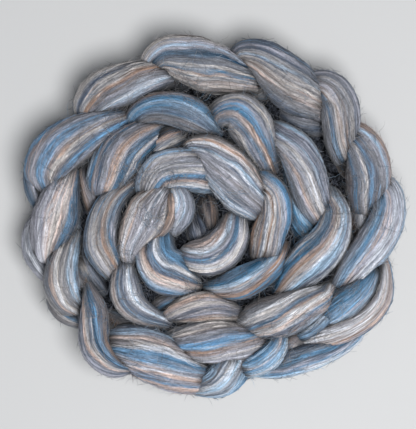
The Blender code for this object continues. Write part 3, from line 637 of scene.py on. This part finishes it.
def lay_lobe(luck, line, way, bands, twist, columns):
    """One lobe: its fibres' colours, and a skin that rises a little where they are light."""
    rows = len(line)
    round_way = round_lobe(columns)
    colour = joined(streaks(luck, bands, band_place(round_way), way))
    lightness = colour.mean(axis=2)
    lift = np.clip(lightness / max(0.05, lightness.mean()) - 1.0, -1.0, 1.0)
    knots = max(4, int(round(way[-1] / LOCK_LENGTH)) + 2)
    strands = STRAND_RIDGE * soft_field(luck, rows, columns, knots, columns // 2, 1.0)
    locks = LOCK_RIDGE * soft_field(luck, rows, columns, knots, 12, 1.0)
    loose = STRAND_RIDGE * luck.normal(0.0, 1.0, (rows, columns))
    fullness = np.clip(line[:, 3:4] / RIDGED_HALF, 0.15, 1.2)
    ridges = fullness * (STRAND_RIDGE * lift + joined(strands + locks) + loose)
    twist = radians(twist) * (way / way[-1] - 0.5)
    grid = lobe_surface(line, round_way[None, :] - twist[:, None], ridges)
    grid[..., 2] = np.maximum(grid[..., 2], LOWEST_SKIN)
    return Laid(line, way, twist, grid, colour)


# ---- painted shade in the gaps ----
def rough_skin(laid):
    """Every lobe at a quarter of its detail, to find what stands in the way of the light."""
    corners, faces = [], []
    for lobe in laid:
        part = lobe.grid[::2, ::2]
        sides, _, _ = tube_faces(*part.shape[:2])
        faces.extend((sides + len(corners)).tolist())
        corners.extend(part.reshape(-1, 3).tolist())
    return BVHTree.FromPolygons(corners, faces)


def sky_rays(count):
    """Directions spread evenly over everything above the horizon, and a little below it."""
    rays = []
    for index in range(count):
        height = 1.0 - 1.15 * (index + 0.5) / count
        flat = sqrt(max(0.0, 1.0 - height * height))
        turn = index * EVEN_TURN
        rays.append(np.array([flat * cos(turn), flat * sin(turn), height]))
    return rays


SKY_RAYS = sky_rays(SKY_RAY_COUNT)


def openness(lobe, skin, row_step=3, column_step=4, clearance=0.0008):
    """How much of the room above each part of a lobe is clear of wool, from 0 to 1."""
    rows, columns, _ = lobe.grid.shape
    row_picks = np.unique(np.append(np.arange(0, rows, row_step), rows - 1))
    column_picks = np.arange(0, columns, column_step)
    clear = np.zeros((len(row_picks), len(column_picks)))
    for i, row in enumerate(row_picks):
        for j, column in enumerate(column_picks):
            place = lobe.grid[row, column]
            out = place - lobe.line[row, :3]
            out /= max(1e-9, np.linalg.norm(out))
            start = place + out * clearance
            total = reached = 0.0
            for ray in SKY_RAYS:
                weight = float(ray @ out)
                if weight <= 0.05:
                    continue
                total += weight
                if skin.ray_cast(start, ray, SKY_RAY_LENGTH)[0] is None:
                    reached += weight
            clear[i, j] = reached / total if total > 0.0 else 0.0
    wide = np.array([np.interp(np.arange(columns), np.append(column_picks, columns),
                               np.append(line, line[0])) for line in clear])
    return np.array([np.interp(np.arange(rows), row_picks, wide[:, column])
                     for column in range(columns)]).T


def with_painted_shade(lobe, skin, gain=1.35, depth=1.3):
    """A lobe with its tones darkened by painted shade in the gaps and where it dives under the next one."""
    clear = np.clip(openness(lobe, skin) * gain, 0.0, 1.0)
    shade = PAINTED_GAP_SHADE + (1.0 - PAINTED_GAP_SHADE) * clear ** depth
    from_end = np.minimum(lobe.way, lobe.way[-1] - lobe.way) / END_LENGTH
    dive = PAINTED_DIVE_SHADE + (1.0 - PAINTED_DIVE_SHADE) * np.clip(from_end - 0.5, 0.0, 1.0)
    return lobe._replace(colour=lobe.colour * (shade * dive[:, None])[..., None])


# ---- materials ----
def new_material(name, values):
    """A material and its shader, with values set on the shader's own sockets."""
    material = bpy.data.materials.new(name)
    material.use_nodes = True
    shader = material.node_tree.nodes["Principled BSDF"]
    for socket, value in values.items():
        shader.inputs[socket].default_value = value
    return material, shader


def add_node(material, kind, values=None, sources=None, operation=None):
    """A node with values on some of its sockets and other nodes' outputs on the rest."""
    tree = material.node_tree
    node = tree.nodes.new("ShaderNode" + kind)
    if operation is not None:
        node.operation = operation
    for socket, value in (values or {}).items():
        node.inputs[socket].default_value = value
    for socket, output in (sources or {}).items():
        tree.links.new(output, node.inputs[socket])
    return node


def fine_streaks(material, way, scale, character, limits):
    """Fine streaks along the way of the fibres, and the shade that they give the tones."""
    place = add_node(material, "Mapping", {"Scale": scale}, {"Vector": way.outputs["UV"]})
    noise = add_node(material, "TexNoise", {"Scale": 1.0, **character},
                     {"Vector": place.outputs["Vector"]})
    sockets = ("From Min", "From Max", "To Min", "To Max")
    shade = add_node(material, "MapRange", dict(zip(sockets, limits)),
                     {"Value": noise.outputs["Fac"]})
    return noise.outputs["Fac"], shade.outputs["Result"]


def colour_and_relief(material, shader, colour, height, strength, distance):
    """Leads the colour of the wool and the relief of its single fibres to the shader."""
    links = material.node_tree.links
    links.new(colour, shader.inputs["Base Color"])
    bump = add_node(material, "Bump", {"Strength": strength, "Distance": distance},
                    {"Height": height})
    links.new(bump.outputs["Normal"], shader.inputs["Normal"])


def wool_material(name, fine_across, fine_along):
    """Combed wool: the tones of the piece, fine streaks along the fibres and a soft sheen."""
    material, shader = new_material(name, {"Roughness": 0.62, "Specular IOR Level": 0.22,
                                           "Sheen Weight": 0.25, "Sheen Roughness": 0.45})
    tone = add_node(material, "VertexColor")
    tone.layer_name = "tone"
    way = add_node(material, "UVMap")
    way.uv_map = "fibres"
    fine, shade = fine_streaks(material, way, (fine_across, fine_along, 1.0),
                               {"Detail": 3.0, "Roughness": 0.6}, (0.28, 0.72, 0.68, 1.25))
    _, speck = fine_streaks(material, way, FRIZZ_SCALE,
                            {"Detail": 4.0, "Roughness": 0.7, "Distortion": 1.2},
                            (0.30, 0.70, 0.56, 1.40))
    both = add_node(material, "Math", None, {0: shade, 1: speck}, "MULTIPLY")
    tint = add_node(material, "VectorMath", None,
                    {0: tone.outputs["Color"], "Scale": both.outputs["Value"]}, "SCALE")
    colour_and_relief(material, shader, tint.outputs["Vector"], fine, 0.55, 0.0005)
    return material


def painted_shade_wool_material(name):
    """Dull, near-black wool at the bottom of the gaps as painted shade, with fine curly streaks and no
    gloss.
    """
    material, shader = new_material(name, {"Roughness": 1.0, "Specular IOR Level": 0.05})
    place = add_node(material, "TexCoord")
    curls = add_node(material, "TexNoise", {"Scale": 420.0, "Detail": 4.0, "Distortion": 1.5},
                     {"Vector": place.outputs["Object"]})
    shade = add_node(material, "ValToRGB", None, {"Fac": curls.outputs["Fac"]})
    low, high = shade.color_ramp.elements
    # painted shade: both tones near-black, as the deep gaps look
    low.position = 0.42
    low.color = (0.0022, 0.0024, 0.0030, 1.0)
    high.position = 0.70
    high.color = (0.055, 0.060, 0.074, 1.0)
    colour_and_relief(material, shader, shade.outputs["Color"], curls.outputs["Fac"], 0.8, 0.001)
    return material


# ---- the wool ----
def chart_lobes(lobes, first_seed):
    """The lobes of one part of the chart, in order."""
    return [lay_lobe(luck_of(first_seed + index), *lobe_line(lobe, ROW_LENGTH), lobe.bands,
                     lobe.twist, COLUMNS)
            for index, lobe in enumerate(lobes)]


def ring_lobes(seed):
    """The lobes of the underside and of the rim, with bands picked by chance."""
    luck = luck_of(seed)
    tones = RING_TONES.split()
    laid = []
    for ring in UNDER_RINGS:
        for index in range(ring.count):
            bands = " ".join(tones[i] for i in luck.integers(0, len(tones), RING_BANDS))
            line, way = ring_line(ring, index, RING_ROW_LENGTH)
            twist = luck.uniform(-RING_TWIST, RING_TWIST)
            laid.append(lay_lobe(luck, line, way, bands, twist, RING_COLUMNS))
    return laid


def lobes_piece(name, laid, material, radius=0.012, shift=0.37):
    """The skins of some lobes as one piece, with other fine streaks on each lobe."""
    wool = Wool()
    for index, lobe in enumerate(laid):
        round_way = round_lobe(lobe.grid.shape[1])
        wool.tube(lobe.grid, lobe.colour, round_way * radius + shift * index, lobe.way)
    wool.piece(name, material)


def between(grid, rows, columns):
    """Values of a grid at broken rows and columns; the columns run round and round."""
    low_row = np.clip(rows.astype(int), 0, grid.shape[0] - 2)
    low_column = np.floor(columns).astype(int)
    row_part = (rows - low_row)[..., None]
    column_part = (columns - low_column)[..., None]
    near, far = [grid[low_row, column] * (1 - row_part) + grid[low_row + 1, column] * row_part
                 for column in (low_column % grid.shape[1], (low_column + 1) % grid.shape[1])]
    return near * (1 - column_part) + far * column_part


def column_at(lobe, row, angle):
    """The column of fibre that stands at an angle round a lobe at broken rows."""
    twist = np.interp(row, np.arange(len(lobe.twist)), lobe.twist)
    return (angle + twist + 0.5 * pi) / (2.0 * pi) * lobe.grid.shape[1]


def line_at(lobe, row):
    """Places on the middle line of a lobe at broken rows."""
    rows = np.arange(len(lobe.line))
    return np.stack([np.interp(row, rows, lobe.line[:, axis]) for axis in range(3)], axis=-1)


def shared_out(laid, number):
    """Every lobe with its share of a number of fibres, by how much of the coil it covers."""
    sizes = [float(lobe.line[:, 3].mean() * lobe.way[-1]) for lobe in laid]
    return [(lobe, int(round(number * size / sum(sizes)))) for lobe, size in zip(laid, sizes)]


def lying_fibres(name, luck, laid, material):
    """Fine fibres that lie along the lobes, a little loose and not quite level with them."""
    wool = Wool()
    along = np.linspace(0.0, 1.0, 6)[None, :]
    for lobe, count in shared_out(laid, LYING_FIBRES):
        each = (count, 1)
        first = luck.uniform(0.03, 0.70, each)
        last = np.minimum(first + luck.uniform(0.15, 0.50, each), 0.97)
        row = (first + (last - first) * along) * (len(lobe.line) - 1)
        angle = luck.uniform(-0.15, pi + 0.15, each)
        column = column_at(lobe, row[:, 3:4], angle)
        column = column + luck.normal(0.0, 3.0, each) * (along - 0.5)
        column = column + luck.normal(0.0, 1.1, each) * np.sin(
            along * luck.uniform(3.0, 10.0, each) + luck.uniform(0.0, 6.3, each))
        place = between(lobe.grid, row, column)
        out = unit(place - line_at(lobe, row))
        loose = np.abs(luck.normal(0.0, 0.00035, each)) * np.sin(along * pi)
        place = place + out * (0.00004 + loose)[..., None]
        # the lobe's tone there, with its painted shade
        colour = between(lobe.colour, row[:, 3:4], column[:, 3:4])[:, 0]
        colour = colour * luck.uniform(0.58, 1.64, each)
        wool.hairs(luck, place, luck.uniform(*LYING_RADII, count), np.clip(colour, 0, 1))
    wool.piece(name, material)


def edge_fibres(name, luck, laid, material):
    """Short loose ends that soften the two edges of every lobe."""
    wool = Wool()
    along = np.linspace(0.0, 1.0, 4)[None, :, None]
    for lobe, count in shared_out(laid, EDGE_FIBRES):
        each = (count, 1)
        rows = len(lobe.line)
        row = luck.uniform(0.04, 0.96, count) * (rows - 1)
        edge = luck.normal(0.0, 0.40, count) + 0.05
        column = column_at(lobe, row, np.where(luck.random(count) < 0.5, edge, pi - edge))
        root = between(lobe.grid, row, column)
        ahead = unit(between(lobe.grid, np.minimum(row + 1.5, rows - 1.01), column) - root)
        out = unit(root - line_at(lobe, row))
        way = np.where(luck.random(each) < 0.5, 1.0, -1.0)
        start = ahead * way + out * luck.uniform(0.10, 0.75, each)
        bend = -out * luck.uniform(-0.2, 0.9, each) + luck.normal(0.0, 0.45, (count, 3))
        length = luck.uniform(*EDGE_LENGTHS, each)[..., None]
        place = root[:, None, :] + length * (start[:, None, :] * along
                                             + 0.5 * bend[:, None, :] * along ** 2)
        place[..., 2] = np.clip(place[..., 2], LOWEST_EDGE_FIBRE, FIBRE_TOP)
        # the lobe's tone there, with its painted shade
        colour = between(lobe.colour, row[:, None], column[:, None])[:, 0]
        colour = 0.7 * colour + 0.3 * linear("grey")
        colour = colour * np.where(luck.random(each) < 0.5, 0.35, 1.25)
        wool.hairs(luck, place, luck.uniform(*EDGE_RADII, count), np.clip(colour, 0, 1))
    wool.piece(name, material)


def height_at(skin, x, y):
    """How high the wool stands at a place, or nothing beside the coil."""
    hit = skin.ray_cast((x, y, 2.0 * THICK), (0.0, 0.0, -1.0))[0]
    return None if hit is None else hit[2]


def drape(luck, paths, skin):
    """Lay flat paths over the wool: a fibre spans the gaps that it crosses."""
    kept = []
    for path in paths:
        heights = [height_at(skin, x, y) for x, y in path]
        if heights[0] is None:
            continue
        reach = next((i for i, height in enumerate(heights) if height is None), len(path))
        heights = np.array([heights[min(i, reach - 1)] for i in range(len(path))])
        for _ in range(10):
            level = 0.5 * (heights[:-2] + heights[2:]) - 0.0002
            heights[1:-1] = np.maximum(heights[1:-1], level)
        over = np.maximum(0, np.arange(len(path)) - reach + 1) * luck.uniform(0.0, 0.0016)
        lift = luck.uniform(0.0002, 0.0009)
        height = np.clip(heights + lift - over, LOWEST_FLYAWAY, FIBRE_TOP)
        kept.append(np.column_stack((path, height)))
    return np.array(kept)


def flyaway_fibres(name, luck, skin, material):
    """Single crimped fibres over the lobes and across the gaps, thickest at the pinches."""
    wool = Wool()
    starts = [luck.normal(0.0, spread * SQUARE, (count, 2)) + np.array(over_ground(x, y))
              for x, y, spread, count in FUZZ]
    turn, reach = luck.uniform(0.0, 2.0 * pi, EVEN_FUZZ), luck.random(EVEN_FUZZ) ** 0.5
    round_middle = np.stack((reach * np.cos(turn), reach * np.sin(turn)), axis=-1)
    starts = np.concatenate((*starts, EVEN_FUZZ_RADIUS * round_middle))
    count = len(starts)
    round_coil = np.arctan2(starts[:, 1], starts[:, 0]) - 0.5 * pi
    heading = round_coil + luck.normal(0.0, 0.9, count)
    length = luck.uniform(*FLYAWAY_LENGTHS, count)
    steps = np.linspace(0.0, 1.0, 7)
    bend = luck.normal(0.0, 1.1, count)[:, None] * steps
    crimp = luck.normal(0.0, 0.5, count)[:, None] * np.sin(
        steps * luck.uniform(4.0, 14.0, (count, 1)) + luck.uniform(0.0, 6.3, (count, 1)))
    way = (heading[:, None] + bend + crimp)[:, :-1]
    step = (length / (len(steps) - 1))[:, None, None]
    moves = np.cumsum(np.stack((np.cos(way), np.sin(way)), axis=-1) * step, axis=1)
    moves = np.concatenate((np.zeros((count, 1, 2)), moves), axis=1)
    paths = drape(luck, starts[:, None, :] + moves, skin)
    tones = linear_tones(FUZZ_TONES)
    colour = tones[luck.integers(0, len(tones), len(paths))]
    # painted shade: fibres that lie low in the gaps are darkened by their height
    depth = np.clip((paths[:, :, 2].mean(axis=1) - PAINTED_SHADE_LEVEL) / PAINTED_SHADE_DEPTH, 0.0, 1.0)[:, None]
    colour = colour * luck.uniform(0.35, 1.0, (len(paths), 1)) * (0.25 + 0.60 * depth)
    wool.hairs(luck, paths, luck.uniform(*FLYAWAY_RADII, len(paths)), colour)
    wool.piece(name, material)


def lay_core(name, material, columns=96):
    """The wool that shows at the bottom of the gaps between the lobes, near-black as painted shade."""
    wool = Wool()
    angles = np.linspace(0.0, 2.0 * pi, columns, endpoint=False)
    shape = ((0.35, CORE_BOTTOM), (0.95, CORE_BOTTOM), (1.0, 0.5 * (CORE_BOTTOM + CORE_TOP)),
             (0.95, CORE_TOP), (0.65, CORE_TOP), (0.35, CORE_TOP))
    grid = np.array([[(CORE_RADIUS * share * cos(-angle), CORE_RADIUS * share * sin(-angle),
                       height) for angle in angles] for share, height in shape])
    # painted shade: the dark tone dimmed much further
    colour = np.broadcast_to(linear("dark") * 0.15, grid.shape)
    wool.tube(grid, colour, angles * CORE_RADIUS, np.linspace(0.0, 0.2, len(shape)))
    wool.piece(name, material)


# ---- light and ground ----
def lay_floor():
    """Pale, dull ground under the coil."""
    bpy.ops.object.select_all(action="DESELECT")
    bpy.ops.mesh.primitive_plane_add(size=6.0, location=(0.0, 0.0, 0.0))
    floor = bpy.context.active_object
    floor.name = "floor"
    ground, _ = new_material("pale_ground", {"Base Color": (0.62, 0.61, 0.60, 1.0),
                                             "Roughness": 0.9})
    floor.data.materials.append(ground)


def hang_lamp(name, place, size, power, tint):
    """A round, soft lamp that faces the coil."""
    data = bpy.data.lights.new(name, "AREA")
    data.shape = "DISK"
    data.size = size
    data.energy = power
    data.color = tint
    lamp = new_object(name, data)
    lamp.location = place
    x, y, height = place
    lamp.rotation_euler = (atan2(hypot(x, y), height), 0.0, atan2(x, -y))


def light_scene():
    """Soft, slightly cool daylight from all round, and one broad lamp high up."""
    world = bpy.data.worlds.new("daylight")
    bpy.context.scene.world = world
    world.use_nodes = True
    sky = world.node_tree.nodes["Background"]
    sky.inputs["Color"].default_value = (0.86, 0.92, 1.0, 1.0)
    sky.inputs["Strength"].default_value = 0.20
    hang_lamp("window", (0.30, -0.30, 1.6), 0.9, 30.0, (0.96, 0.98, 1.0))
    bpy.context.scene.view_settings.view_transform = "Standard"


place_camera()
# fine streaks to the metre, across and along the fibres
combed_wool = wool_material("combed_wool", 620.0, 24.0)
loose_wool = wool_material("loose_wool", 300.0, 60.0)
outer = chart_lobes(OUTER_LOBES, 100)
inner = chart_lobes(INNER_LOBES, 200)
centre = chart_lobes(CENTRE_LOBES, 300)
lower = ring_lobes(400)
skin = rough_skin(outer + inner + centre + lower)
# painted shade: each lobe's tones darkened where the wool around it closes off the sky
outer, inner, centre, lower = [[with_painted_shade(lobe, skin) for lobe in part]
                               for part in (outer, inner, centre, lower)]
for name, part in (("outer_lobes", outer), ("inner_lobes", inner), ("centre_lobes", centre),
                   ("lower_lobes", lower)):
    lobes_piece(name, part, combed_wool)
lay_core("inner_wool", painted_shade_wool_material("painted_shade_wool"))
lying_fibres("outer_fibres", luck_of(501), outer, loose_wool)
lying_fibres("inner_fibres", luck_of(502), inner + centre, loose_wool)
edge_fibres("edge_fibres", luck_of(503), outer + inner + centre, loose_wool)
flyaway_fibres("flyaway_fibres", luck_of(504), skin, loose_wool)
lay_floor()
light_scene()
